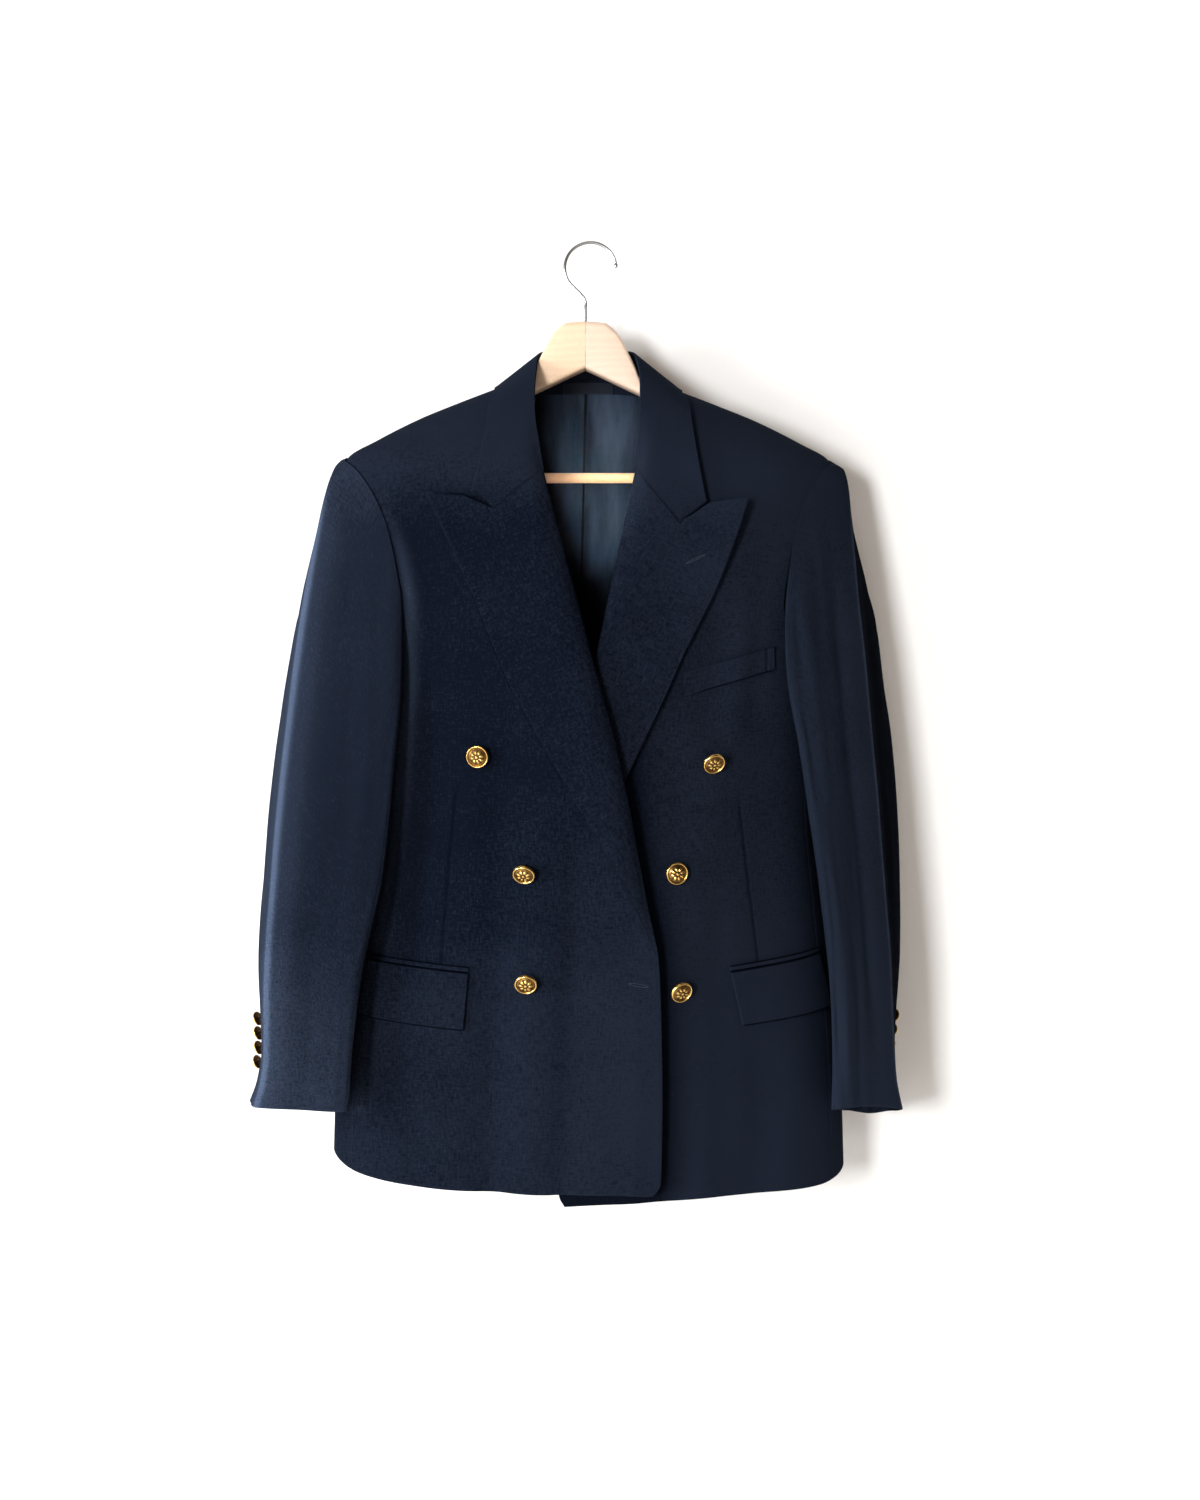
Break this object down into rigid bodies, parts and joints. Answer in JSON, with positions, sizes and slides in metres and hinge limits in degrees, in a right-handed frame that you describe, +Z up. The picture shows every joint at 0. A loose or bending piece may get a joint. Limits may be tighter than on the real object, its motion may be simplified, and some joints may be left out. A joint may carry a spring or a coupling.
{
  "type": "double-breasted blazer on a wooden hanger",
  "caption": "Double-breasted navy blazer with peak lapels and gilt buttons, hung open on a wooden hanger with a wire hook.",
  "frame": {"origin": "inside of the top of the hook, where a rail holds it; mount rail", "axes": "+Z up, the jacket's front faces -Y, the wearer's left is at +X"},
  "size_m": [0.6463, 0.1934, 0.9471],
  "materials": {
    "navy_wool": "matte twill",
    "lining": "satin",
    "label": "woven",
    "gilt": "polished",
    "chrome": "polished",
    "maple": "satin"
  },
  "bodies": {
    "root": {"back_left": "navy_wool", "back_lining": "lining", "back_right": "navy_wool", "button_left_bottom": "gilt", "button_left_middle": "gilt", "button_left_top": "gilt", "button_right_bottom": "gilt", "button_right_middle": "gilt", "button_right_top": "gilt", "chest_welt": "navy_wool", "collar": "navy_wool", "cuff_button_left_1": "gilt", "cuff_button_left_2": "gilt", "cuff_button_left_3": "gilt", "cuff_button_left_4": "gilt", "cuff_button_right_1": "gilt", "cuff_button_right_2": "gilt", "cuff_button_right_3": "gilt", "cuff_button_right_4": "gilt", "front_left": "navy_wool", "front_right": "navy_wool", "hanger_arm_left": "maple", "hanger_arm_right": "maple", "hanger_bar": "maple", "hanger_hook": "chrome", "lapel_left": "navy_wool", "lapel_right": "navy_wool", "neck_label": "label", "pocket_flap_left": "navy_wool", "pocket_flap_right": "navy_wool", "pocket_jet_left": "navy_wool", "pocket_jet_right": "navy_wool", "side_left": "navy_wool", "side_right": "navy_wool", "top_sleeve_left": "navy_wool", "top_sleeve_right": "navy_wool", "under_sleeve_left": "navy_wool", "under_sleeve_right": "navy_wool"}
  },
  "joints": []
}
